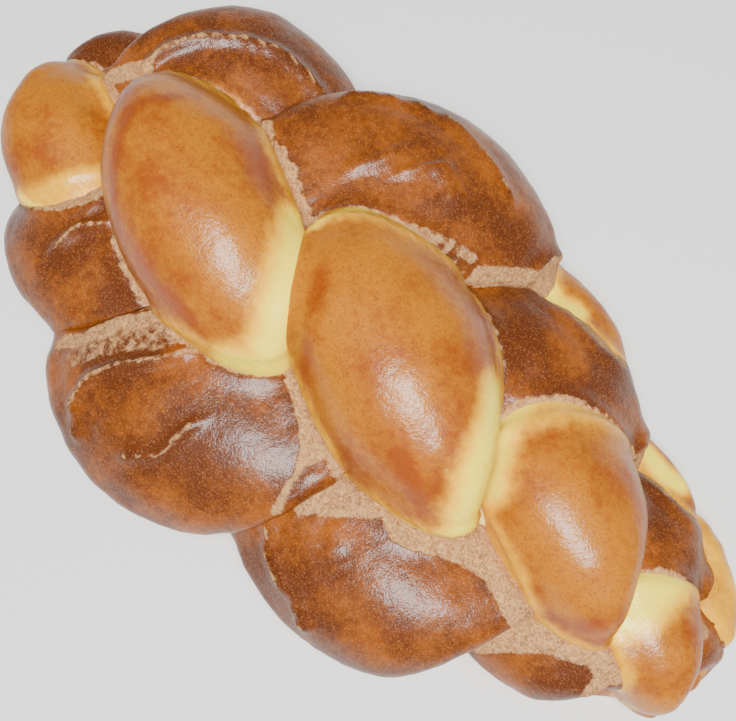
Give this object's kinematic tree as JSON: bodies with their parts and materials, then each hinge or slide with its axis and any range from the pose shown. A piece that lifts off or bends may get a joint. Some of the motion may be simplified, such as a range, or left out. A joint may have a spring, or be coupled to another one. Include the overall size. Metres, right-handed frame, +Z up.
{
  "type": "braided loaf",
  "caption": "Round braided loaf of plain egg dough and cocoa dough ropes, thick at one end and slim at the other, with a flat baked base.",
  "frame": {"origin": "middle of the loaf's outline, on the surface it lies on", "axes": "+X along the loaf from the thick end to the slim end, +Y to its left, +Z up"},
  "size_m": [0.3252, 0.184, 0.0882],
  "materials": {
    "plain_dough": "egg-washed golden crust, semi-gloss, freckled, pale yellow where the dough was tucked",
    "cocoa_dough": "egg-washed dark brown crust, semi-gloss, with matt tan torn dough beside the creases"
  },
  "bodies": {
    "root": {"bread": "plain_dough"}
  },
  "joints": []
}
